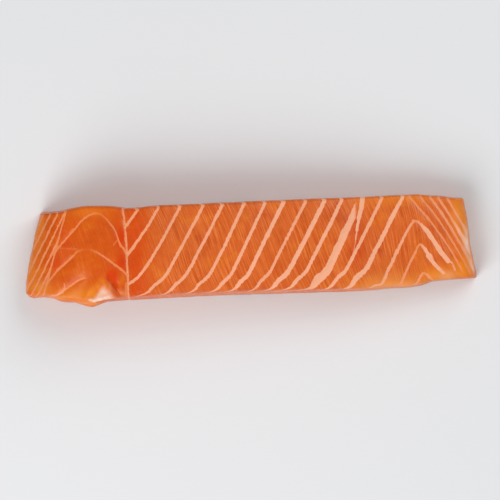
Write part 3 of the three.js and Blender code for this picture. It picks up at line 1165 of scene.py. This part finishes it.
class Board:
    """A material's node tree."""

    def __init__(self, name: str) -> None:
        """Start a material with an empty tree.

        Args:
            name: The material's name.
        """
        self.material = bpy.data.materials.new(name)
        self.material.use_nodes = True
        self.tree = self.material.node_tree
        self.tree.nodes.clear()

    def add(self, kind: str, settings: Settings, inputs: Inputs) -> bpy.types.Node:
        """Add a node.

        Args:
            kind: The node's type.
            settings: Its settings, set before its sockets.
            inputs: Values or links of its sockets, by name or number.

        Returns:
            The node.
        """
        node = self.tree.nodes.new(kind)
        for name, value in settings.items():
            setattr(node, name, value)
        for name, value in inputs.items():
            if isinstance(value, Socket):
                self.tree.links.new(value.socket, node.inputs[name])
            else:
                node.inputs[name].default_value = value
        return node

    def value(self, kind: str, settings: Settings, inputs: Inputs, output: int | str = 0) -> Socket:
        """Add a node and give one of its outputs."""
        return Socket(self, self.add(kind, settings, inputs).outputs[output])

    def math(self, operation: str, *values: Input) -> Socket:
        """Add a Math node with its values in order."""
        return self.value("ShaderNodeMath", {"operation": operation}, dict(enumerate(values)))

    def vector(self, operation: str, *values: Input, result: int = 0) -> Socket:
        """Add a Vector Math node with its values in order, and give one of its results."""
        return self.value("ShaderNodeVectorMath", {"operation": operation}, dict(enumerate(values)), result)

    def scaled(self, color: Input, factor: Input) -> Socket:
        """Multiply a colour or a vector by a factor."""
        return self.value("ShaderNodeVectorMath", {"operation": "SCALE"}, {0: color, "Scale": factor})

    def choose(self, share: Input, low: Input, high: Input) -> Socket:
        """Mix two values by the share of the second."""
        return self.value("ShaderNodeMix", {"data_type": "FLOAT"}, {0: share, 2: low, 3: high})

    def blend(self, share: Input, under: Input, over: Input) -> Socket:
        """Mix two colours by the share of the second."""
        return self.value("ShaderNodeMix", {"data_type": "RGBA"}, {"Factor": share, 6: under, 7: over}, 2)

    def point(self) -> Socket:
        """Give the place on the object, in metres."""
        return self.value("ShaderNodeTexCoord", {}, {}, "Object")

    def stored(self, name: str) -> tuple[Socket, ...]:
        """Give the three values that the mesh holds under a name."""
        held = self.value("ShaderNodeAttribute", {"attribute_name": name}, {}, "Vector")
        return tuple(Socket(self, part) for part in self.add("ShaderNodeSeparateXYZ", {}, {0: held}).outputs)

    def joined(self, x: Input, y: Input, z: Input) -> Socket:
        """Join three values into a vector."""
        return self.value("ShaderNodeCombineXYZ", {}, {0: x, 1: y, 2: z})

    def noise(self, place: Input, grain: Grain) -> Socket:
        """Add a smooth noise that is read at a place."""
        sizes = {"Scale": grain.scale, "Detail": grain.detail, "Roughness": grain.roughness}
        return self.value("ShaderNodeTexNoise", {}, {"Vector": place, **sizes})

    def ramp(self, value: Input, start: Input, end: Input, kind: str = "SMOOTHSTEP") -> Socket:
        """Go from 0 to 1 as a value goes from a start to an end."""
        inputs = {"Value": value, "From Min": start, "From Max": end}
        return self.value("ShaderNodeMapRange", {"interpolation_type": kind}, inputs)

    def finish(self, inputs: Inputs) -> bpy.types.Material:
        """Close the tree with a surface.

        Args:
            inputs: Values or links of the surface's sockets.

        Returns:
            The material.
        """
        surface = self.value("ShaderNodeBsdfPrincipled", {"subsurface_method": "RANDOM_WALK"}, inputs)
        self.add("ShaderNodeOutputMaterial", {}, {"Surface": surface})
        return self.material


class Skin(NamedTuple):
    """What the flesh is drawn from: its board, two places and values that the mesh holds.

    The place is on the object, in metres. The flat one is in plan on the portion, in millimetres.
    """

    board: Board
    place: Socket
    flat: Socket
    border: Socket
    seam: Socket
    upper: Socket
    cut: Socket
    under: Socket


@dataclass(frozen=True)
class FleshColors:
    """The colours of raw salmon, and the dark of the painted shade in the tear's crease."""

    margin: Color = paint(205, 80, 0)
    loin: Color = paint(213, 85, 2)
    belly: Color = paint(214, 99, 34)
    # Also used for the painted shade in the tear's crease.
    red: Color = paint(212, 56, 0)
    # Also used as painted light on the shaded back edge.
    gold: Color = paint(235, 135, 24)
    # Also drawn as a painted highlight rim along the back edge's outline.
    peach: Color = paint(238, 160, 98)
    dusk: Color = paint(182, 62, 4)
    # Painted shade: the dark drawn along the crease of the tear.
    crease_shade: Color = paint(168, 62, 14)
    light: Color = paint(238, 134, 68)
    thin_fat: Color = paint(234, 134, 80)
    thick_fat: Color = paint(243, 173, 136)
    # Also drawn on the rim of the belly end, partly as painted light.
    fold: Color = paint(248, 212, 190)
    cut: Color = paint(220, 114, 68)
    under: Color = paint(214, 138, 104)
    dark: Color = paint(150, 84, 58)
    under_fat: Color = paint(236, 200, 178)


@dataclass(frozen=True)
class Fat:
    """The sheets of fat as lines of their own width, with short branches on the upper face."""

    softness: float = 0.12
    border_half_width: float = 0.3
    seam_half_width: float = 0.4
    seam_blur: float = 2.0
    teeth: Grain = Grain(1.0, 2.0, 0.6)
    teeth_across: float = 1.3
    teeth_along: float = 0.12
    teeth_on_cut: float = 0.15
    teeth_on_upper: float = 0.8
    waver: Grain = Grain(650.0)
    waver_width: float = 0.3
    border_waver: float = 0.5
    branch_waver: float = 0.6
    swell: Grain = Grain(260.0)
    swelling: float = 0.56
    branches: tuple[Stroke, ...] = strokes_of(
        ((-73.0, 2.7), (-66.0, 2.0), 0.26, 0.25), ((-73.9, 3.4), (-75.6, 0.2), 0.36, 0.8),
        ((-78.6, 16.3), (-80.7, 12.0), 0.34, 1.0), ((-74.2, -5.5), (-71.0, -3.1), 0.45, 0.7),
        ((-69.0, 8.3), (-67.6, 9.8), 0.34, 0.6), ((-77.4, -15.8), (-74.4, -15.1), 0.36, 0.9),
        ((-74.4, -15.1), (-72.6, -14.2), 0.36, 0.9), ((-72.6, -14.2), (-71.7, -12.7), 0.34, 0.9),
        ((-71.7, -12.7), (-71.8, -10.9), 0.26, 0.8), ((-50.9, 4.8), (-52.4, 3.0), 0.24, 0.45),
        ((72.3, -4.0), (75.3, -8.2), 0.85, 1.0), ((75.4, -8.2), (76.9, -8.9), 0.36, 0.8),
        ((76.9, -8.9), (77.8, -11.6), 0.36, 0.7), ((67.6, -5.8), (70.0, -9.0), 0.72, 1.0),
        ((70.0, -9.0), (71.7, -11.0), 0.68, 1.0), ((71.7, -11.0), (73.3, -12.7), 0.6, 0.9),
        ((43.6, 18.0), (42.9, 13.6), 0.9, 1.0), ((42.9, 13.6), (41.7, 9.5), 0.8, 1.0),
        ((41.7, 9.5), (40.8, 5.0), 0.55, 1.0), ((40.8, 5.0), (40.2, 1.5), 0.3, 0.9),
        ((40.2, 1.5), (39.3, -3.0), 0.15, 0.8), ((-50.3, -16.0), (-51.5, -13.7), 0.18, 0.5),
        ((-48.0, -12.0), (-48.3, -17.4), 0.62, 0.8), ((62.5, 7.8), (64.5, 7.4), 0.45, 0.9),
    )

    def share(self, skin: Skin) -> Socket:
        """Draw the fat.

        Args:
            skin: What the flesh is drawn from.

        Returns:
            The share of fat.
        """
        board = skin.board
        half_width, strength, _ = board.stored("lines")
        past_seam = 1.0 - (skin.seam < 0.0)
        in_margin = skin.border < 0.0
        turn, spacing = (
            board.choose(in_margin, board.choose(past_seam, loin, belly), margin)
            for margin, loin, belly in (board.stored("turns"), board.stored("spacings"))
        )
        across, along, _ = board.stored("fibres")
        facing = board.stored("others")[1]
        teeth = board.joined(across * self.teeth_across, along * self.teeth_along, 0.0)
        teeth = board.noise(teeth, self.teeth) - MIDDLE
        teeth = teeth * board.choose(skin.upper, self.teeth_on_cut, self.teeth_on_upper)
        waver = ((board.noise(skin.place, self.waver) - MIDDLE) * self.waver_width + teeth) * facing
        turn = turn + waver / spacing
        away = abs(turn - board.math("ROUND", turn)) * spacing
        width = half_width * facing * vary(board.noise(skin.place, self.swell), self.swelling)
        off_border = abs(skin.border + waver * self.border_waver)
        shares = [
            self.line(board, away, width) * strength,
            self.line(board, off_border, self.border_half_width),
            self.line(board, abs(skin.seam + waver), self.seam_half_width, self.seam_blur),
        ]
        for branch in self.branches:
            shares.append(self.stroke(skin, waver * self.branch_waver, branch) * skin.upper)
        return reduce(lambda lines, share: board.math("MAXIMUM", lines, share), shares)

    def line(self, board: Board, away: Socket, half_width: Input, blur: float = 1.0) -> Socket:
        """Draw a line with soft edges, from the distance to its middle."""
        soft = self.softness * blur
        return board.ramp(away, half_width + soft, half_width - soft)

    def stroke(self, skin: Skin, waver: Input, stroke: Stroke) -> Socket:
        """Draw one short line.

        Args:
            skin: What the flesh is drawn from.
            waver: The unevenness of the line, in millimetres.
            stroke: The line.

        Returns:
            The share of the line.
        """
        board = skin.board
        start = Vector((*stroke.start, 0.0))
        way = Vector((*stroke.end, 0.0)) - start
        offset = board.vector("SUBTRACT", skin.flat, tuple(start))
        along = board.vector("DOT_PRODUCT", offset, tuple(way / way.length_squared), result=1)
        gone = board.scaled(tuple(way), board.ramp(along, 0.0, 1.0, "LINEAR"))
        away = board.vector("DISTANCE", offset, gone, result=1) + waver
        return self.line(board, away, stroke.half_width) * stroke.amount


@dataclass(frozen=True)
class Streaks:
    """The streaks of the muscle fibres, broken at each block."""

    fine: Grain = Grain(1.0, 3.0, 0.65)
    fine_size: tuple[float, float, float] = (2.4, 0.08, 3.7)
    broad: Grain = Grain(1.0)
    broad_size: tuple[float, float, float] = (0.4, 0.05, 1.9)
    broad_share: float = 0.12

    def value(self, board: Board) -> Socket:
        """Give a value of about 0 to 1 that varies across the fibres.

        Args:
            board: The material's board.

        Returns:
            The value.
        """
        place = board.joined(*board.stored("fibres"))
        fine = board.noise(board.vector("MULTIPLY", place, self.fine_size), self.fine)
        broad = board.noise(board.vector("MULTIPLY", place, self.broad_size), self.broad)
        return fine * (1.0 - self.broad_share) + broad * self.broad_share


@dataclass(frozen=True)
class MuscleTones:
    """How the colour of the muscle varies along the portion, in clouds, streaks, tints and grain."""

    border_over: float = 0.4
    belly_from: float = 2.0
    belly_full: float = 16.0
    clouds: Grain = Grain(130.0, 3.0, 0.6)
    cloud_ends: tuple[float, float] = (0.8, 0.25)
    cloud_share: float = 0.45
    streak_edges: tuple[float, float] = (0.34, 0.66)
    streak_ends: tuple[float, float] = (1.0, 0.0)
    streak_tint: float = 0.9
    streaks_on_cut: float = 0.6
    streaks_in_loin: float = 0.24
    streaks_in_belly: float = 0.75
    patches: Grain = Grain(170.0)
    patch_edges: tuple[float, float] = (0.35, 0.65)
    patch_shares: tuple[float, float] = (0.4, 0.95)
    grain: Grain = Grain(1500.0, 3.0, 0.6)
    grain_tint: float = 0.2
    red_tint: float = 0.85
    gold_tint: float = 0.8
    peach_tint: float = 0.8
    cut_tint: float = 0.5
    film: Grain = Grain(110.0, 3.0, 0.6)
    film_edges: tuple[float, float] = (0.42, 0.72)
    film_share: float = 0.45
    under_tint: float = 0.75
    dark_tint: float = 0.62

    def color(self, skin: Skin, streaks: Socket, colors: FleshColors) -> Socket:
        """Colour the muscle.

        Args:
            skin: What the flesh is drawn from.
            streaks: The streaks of the fibres.
            colors: The colours of the flesh.

        Returns:
            The colour.
        """
        board = skin.board
        clouds, patches, grain, film = (
            board.noise(skin.place, noise) for noise in (self.clouds, self.patches, self.grain, self.film)
        )
        past_border = board.ramp(skin.border, -self.border_over, self.border_over)
        in_belly = board.ramp(skin.seam, self.belly_from, self.belly_full)
        color = board.blend(past_border, colors.margin, colors.loin)
        color = board.blend(in_belly, color, colors.belly)
        for tint, end in zip((colors.gold, colors.dusk), self.cloud_ends):
            color = board.blend(board.ramp(clouds, MIDDLE, end) * self.cloud_share, color, tint)
        patches = board.choose(board.ramp(patches, *self.patch_edges), *self.patch_shares)
        shown = board.choose(in_belly, self.streaks_in_loin, self.streaks_in_belly)
        shown = shown * board.choose(skin.cut, patches, self.streaks_on_cut) * self.streak_tint
        sharp = board.ramp(streaks, *self.streak_edges)
        for tint, end in zip((colors.light, colors.dusk), self.streak_ends):
            color = board.blend(board.ramp(sharp, MIDDLE, end) * shown, color, tint)
        color = board.scaled(color, vary(grain, self.grain_tint))
        # Among the red, gold and peach tints are painted shade in the tear's crease and painted light on
        # some rims.
        shares = (*board.stored("tints"), skin.cut)
        amounts = (self.red_tint, self.gold_tint, self.peach_tint, self.cut_tint)
        tints = (colors.red, colors.gold, colors.peach, colors.cut)
        for share, amount, tint in zip(shares, amounts, tints):
            color = board.blend(share * amount, color, tint)
        film = board.ramp(film, *self.film_edges) * self.film_share
        skinned = board.blend(film, colors.under, colors.under_fat)
        color = board.blend(skin.under * self.under_tint, color, skinned)
        return board.blend(board.stored("others")[2] * self.dark_tint, color, colors.dark)


@dataclass(frozen=True)
class FleshFinish:
    """Moist raw salmon flesh with its sheets of fat."""

    colors: FleshColors = FleshColors()
    tones: MuscleTones = MuscleTones()
    fat: Fat = Fat()
    streaks: Streaks = Streaks()
    # Painted shade: thin dark lines down the tear's crease, where its shadow falls.
    crease_shades: tuple[Stroke, ...] = strokes_of(
        ((-55.3, -9.9), (-53.6, -11.7), 0.16, 0.4), ((-53.6, -11.7), (-51.9, -14.2), 0.2, 0.7),
        ((-51.9, -14.2), (-50.8, -16.2), 0.14, 0.5),
    )
    mottle: Grain = Grain(420.0, 3.0)
    fat_mottle: float = 0.12
    under_fat_tint: float = 0.8
    under_fat_share: float = 0.75
    fold_grain: Grain = Grain(500.0, 3.0)
    fold_full_at: float = 0.45
    roughness: float = 0.42
    rough_mottle: float = 0.1
    rough_fat: float = 0.06
    rough_cut: float = 0.08
    rough_matte: float = 0.4
    back_matte: float = 0.9
    back_slope: tuple[float, float] = (1.5, -4.0)
    belly_matte: float = 0.75
    belly_slope: tuple[float, float] = (121.0, 129.0)
    cut_bumps: Grain = Grain(1100.0, 3.0)
    fine_bumps: float = 0.7
    bump_strength: float = 0.6
    bump_height: float = 0.09 * MM
    specular: float = 0.14
    translucency: float = 0.08
    translucent_reach: float = 1.0 * MM
    reach_of_colors: tuple[float, float, float] = (1.0, 0.4, 0.2)
    coat: float = 0.2
    coat_lost: float = 0.9
    coat_roughness: float = 0.2

    def make(self, shift: Vector) -> bpy.types.Material:
        """Make the material.

        Args:
            shift: How far the portion was moved, in millimetres, to stand on the middle of its box.

        Returns:
            The material.
        """
        board = Board("Salmon_flesh")
        place = board.point()
        flat = board.vector("MULTIPLY_ADD", place, (1 / MM, 1 / MM, 0.0), tuple(-shift))
        skin = Skin(board, place, flat, *board.stored("seams")[:2], *board.stored("faces"))
        fat = self.fat.share(skin)
        streaks = self.streaks.value(board)
        mottle = board.noise(place, self.mottle)
        fat_color = board.blend(board.stored("lines")[2], self.colors.thin_fat, self.colors.thick_fat)
        fat_color = board.scaled(fat_color, vary(mottle, self.fat_mottle))
        fat_color = board.blend(skin.under * self.under_fat_tint, fat_color, self.colors.under_fat)
        shown = fat * board.choose(skin.under, 1.0, self.under_fat_share)
        color = board.blend(shown, self.tones.color(skin, streaks, self.colors), fat_color)
        # The fourth tint share holds the fold's pale patch and the pale rim of the belly end, which is
        # partly painted light.
        fold = board.ramp(board.noise(place, self.fold_grain), 0.0, self.fold_full_at)
        color = board.blend(board.stored("others")[0] * fold * skin.upper, color, self.colors.fold)
        # Paint the shade of the tear's crease as dark lines on the upper face.
        for crease_shade in self.crease_shades:
            color = board.blend(self.fat.stroke(skin, 0.0, crease_shade) * skin.upper, color, self.colors.crease_shade)
        matte = self._matte(skin)
        rough = self.roughness + self.rough_mottle * (mottle - MIDDLE)
        rough = rough + self.rough_fat * fat + self.rough_cut * skin.cut + self.rough_matte * matte
        fine = board.choose(skin.cut, streaks, board.noise(place, self.cut_bumps))
        height = fine * self.fine_bumps + mottle * (1.0 - self.fine_bumps)
        bumps = {"Strength": self.bump_strength, "Distance": self.bump_height, "Height": height}
        return board.finish(
            {
                "Base Color": color,
                "Roughness": rough,
                "Normal": board.value("ShaderNodeBump", {}, bumps),
                "Specular IOR Level": self.specular,
                "Subsurface Weight": self.translucency,
                "Subsurface Radius": self.reach_of_colors,
                "Subsurface Scale": self.translucent_reach,
                "Coat Weight": self.coat - self.coat * self.coat_lost * matte,
                "Coat Roughness": self.coat_roughness,
            }
        )

    def _matte(self, skin: Skin) -> Socket:
        """Give how dull the flesh is: on the two end slopes, and where it is red and torn.

        Args:
            skin: What the flesh is drawn from.

        Returns:
            The share of dullness.
        """
        board = skin.board
        back = board.ramp(skin.border, *self.back_slope) * self.back_matte
        belly = board.ramp(skin.seam, *self.belly_slope) * self.belly_matte
        return board.math("MAXIMUM", board.stored("tints")[0], (back + belly) * skin.upper)


@dataclass(frozen=True)
class FloorFinish:
    """A plain pale finish with a faint unevenness."""

    color: Color = paint(226, 227, 229)
    roughness: float = 0.7
    specular: float = 0.2
    unevenness: Grain = Grain(6.0)
    uneven_tint: float = 0.02

    def make(self) -> bpy.types.Material:
        """Make the material.

        Returns:
            The material.
        """
        board = Board("Pale_floor")
        noise = board.noise(board.point(), self.unevenness)
        color = board.scaled(self.color[:3], vary(noise, self.uneven_tint))
        shine = {"Roughness": self.roughness, "Specular IOR Level": self.specular}
        return board.finish({"Base Color": color, **shine})


@dataclass(frozen=True)
class Fillet:
    """The portion of salmon as one piece of flesh."""

    name: str = "salmon_flesh"
    node: str = "fillet"
    slot: str = "flesh"
    body: str = "root"
    form: Form = Form()
    cells: Cells = Cells()
    muscle: Muscle = Muscle()
    relief: Relief = Relief()
    tints: Tints = Tints()
    fibres: Fibres = Fibres()
    dark_muscle: DarkMuscle = DarkMuscle()
    finish: FleshFinish = FleshFinish()
    pale_margin: float = 0.15
    pale_loin: float = 0.0
    thin_line: float = 0.5
    pale_over: float = 0.95
    cream: Tint = Tint(-74.0, -14.6, 3.4, 1.6, 0.7)
    cut_line: float = 0.65
    end_cut: float = 0.35
    face_edge: float = 1.6
    rim_more: float = 0.6

    def build(self) -> bpy.types.Object:
        """Build the portion and give it its finish.

        Returns:
            The piece, on its body and in the place of its solid.
        """
        block = Block(self.cells, self.form)
        quads = block.quads
        smooth = self.form.place(block.points)
        normals = normals_of(smooth, quads)
        pattern = self.muscle.pattern(smooth, normals, self.form)
        points = smooth + normals * self.relief.height(smooth, normals, pattern)[:, None]
        middle = (points.min(axis=0) + points.max(axis=0)) / 2.0
        shift = -middle * (1.0, 1.0, 0.0)
        piece = self._piece(points + shift, quads)
        self._store(piece.data, smooth, normals, pattern)
        piece.data.materials.append(self.finish.make(Vector(shift)))
        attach(piece, self.body)
        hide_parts(self.node)
        return piece

    def _piece(self, points: Array, quads: Array) -> bpy.types.Object:
        """Make the mesh and its object.

        Args:
            points: The portion's points in millimetres.
            quads: The corners of its faces.

        Returns:
            The object.
        """
        mesh = bpy.data.meshes.new(self.name)
        mesh.vertices.add(len(points))
        mesh.loops.add(quads.size)
        mesh.polygons.add(len(quads))
        mesh.vertices.foreach_set("co", (points * MM).ravel().astype(np.float32))
        mesh.loops.foreach_set("vertex_index", quads.ravel().astype(np.int32))
        mesh.polygons.foreach_set("loop_start", np.arange(0, quads.size, quads.shape[1], dtype=np.int32))
        mesh.update(calc_edges=True)
        mesh.validate()
        mesh.shade_smooth()
        piece = bpy.data.objects.new(self.name, mesh)
        bpy.context.scene.collection.objects.link(piece)
        return piece

    def _store(self, mesh: bpy.types.Mesh, points: Array, normals: Array, pattern: Pattern) -> None:
        """Keep on the mesh what the material reads.

        Args:
            mesh: The portion's mesh.
            points: Its points on the smooth form.
            normals: The normals there.
            pattern: The muscle pattern there.
        """
        margin, loin, belly = pattern.families
        own = pattern.own
        tilt = normals[:, 2] * self.face_edge
        upper, under, rim = ease(tilt), ease(-tilt), ease(tilt + self.rim_more)
        level = normals[:, 0] ** 2 + normals[:, 1] ** 2
        knife = normals[:, 1] ** 2 / np.maximum(level, TINY)
        cut = np.clip(1.0 - upper - under, 0.0, 1.0) * lerp(self.end_cut, 1.0, knife)
        wide = ease((2.0 * own.half_width - self.thin_line) / self.pale_over)
        pale = np.choose(pattern.family, [self.pale_margin, self.pale_loin, wide]) + self.cream.share(points)
        across = self.fibres.across(points, pattern.lean)
        dark = self.dark_muscle.share(points) * (1.0 - upper)
        # The fourth share holds the fold's pale patch and the pale rim of the belly end, which is partly
        # painted light.
        red, gold, peach, fold = self.tints.shares(points)
        columns = {
            "turns": (margin.turn, loin.turn, belly.turn),
            "spacings": (margin.spacing, loin.spacing, belly.spacing),
            "lines": (own.half_width * lerp(self.cut_line, 1.0, upper), own.strength, pale),
            "seams": (pattern.border, pattern.seam, np.zeros(len(points))),
            "fibres": (across, points[:, 1] - points[:, 2], pattern.block),
            "tints": (red * upper, gold * rim, peach * rim),
            "faces": (upper, cut, under),
            "others": (fold * upper, lerp(pattern.facing, 1.0, upper), dark),
        }
        for name, values in columns.items():
            attribute = mesh.attributes.new(name, "FLOAT_VECTOR", "POINT")
            attribute.data.foreach_set("vector", np.stack(values, axis=1).ravel().astype(np.float32))


@dataclass(frozen=True)
class Lamp:
    """A soft square lamp that faces the portion, with its power in watts."""

    name: str
    place: tuple[float, float, float]
    power: float
    size: float = 0.8

    def hang(self) -> None:
        """Hang the lamp."""
        light = bpy.data.lights.new(self.name, "AREA")
        light.size = self.size
        light.energy = self.power
        lamp = bpy.data.objects.new(self.name, light)
        lamp.location = self.place
        lamp.rotation_euler = Vector(self.place).to_track_quat("Z", "Y").to_euler()
        bpy.context.scene.collection.objects.link(lamp)


@dataclass(frozen=True)
class Studio:
    """The floor, the soft light and the camera."""

    floor_size: float = 6.0
    floor: FloorFinish = FloorFinish()
    lamps: tuple[Lamp, ...] = (
        Lamp("Soft_lamp_1", (-0.5, -0.65, 0.75), 9.0),
        Lamp("Soft_lamp_2", (0.6, 0.6, 0.8), 6.0),
    )
    world_color: Color = (1.0, 1.0, 1.0, 1.0)
    world_strength: float = 0.34
    lens: float = 900.0
    sensor: float = 36.0
    nearest: float = 0.01
    seen_width: float = 0.192
    roll: float = 2.3

    def build(self) -> None:
        """Set up the studio."""
        self._lay_floor()
        for lamp in self.lamps:
            lamp.hang()
        self._light_world()
        self._aim_camera()

    def _lay_floor(self) -> None:
        """Lay the pale floor under the portion."""
        half = self.floor_size / 2
        corners = [(-half, -half, 0.0), (half, -half, 0.0), (half, half, 0.0), (-half, half, 0.0)]
        mesh = bpy.data.meshes.new("pale_floor")
        mesh.from_pydata(corners, [], [(0, 1, 2, 3)])
        mesh.materials.append(self.floor.make())
        floor = bpy.data.objects.new("pale_floor", mesh)
        bpy.context.scene.collection.objects.link(floor)

    def _light_world(self) -> None:
        """Give the world a soft even light."""
        world = bpy.data.worlds.new("Soft_world")
        world.use_nodes = True
        background = world.node_tree.nodes["Background"]
        background.inputs["Color"].default_value = self.world_color
        background.inputs["Strength"].default_value = self.world_strength
        bpy.context.scene.world = world
        bpy.context.scene.view_settings.view_transform = "Standard"

    def _aim_camera(self) -> None:
        """Look straight down, turned so that the portion lies as aslant as in the photograph."""
        view = bpy.data.cameras.new("Camera")
        view.lens = self.lens
        view.sensor_width = self.sensor
        view.clip_start = self.nearest
        camera = bpy.data.objects.new("Camera", view)
        camera.location = (0.0, 0.0, self.seen_width * self.lens / self.sensor)
        camera.rotation_euler = (0.0, 0.0, -math.radians(self.roll))
        bpy.context.scene.collection.objects.link(camera)
        bpy.context.scene.camera = camera


def main() -> None:
    """Build the portion and the studio, and report each piece."""
    logging.basicConfig(level=logging.INFO, format="%(message)s")
    piece = Fillet().build()
    log.info("%s: %d points, %d faces", piece.name, len(piece.data.vertices), len(piece.data.polygons))
    Studio().build()
    log.info("studio: floor, lamps and camera")


if __name__ == "__main__":
    main()
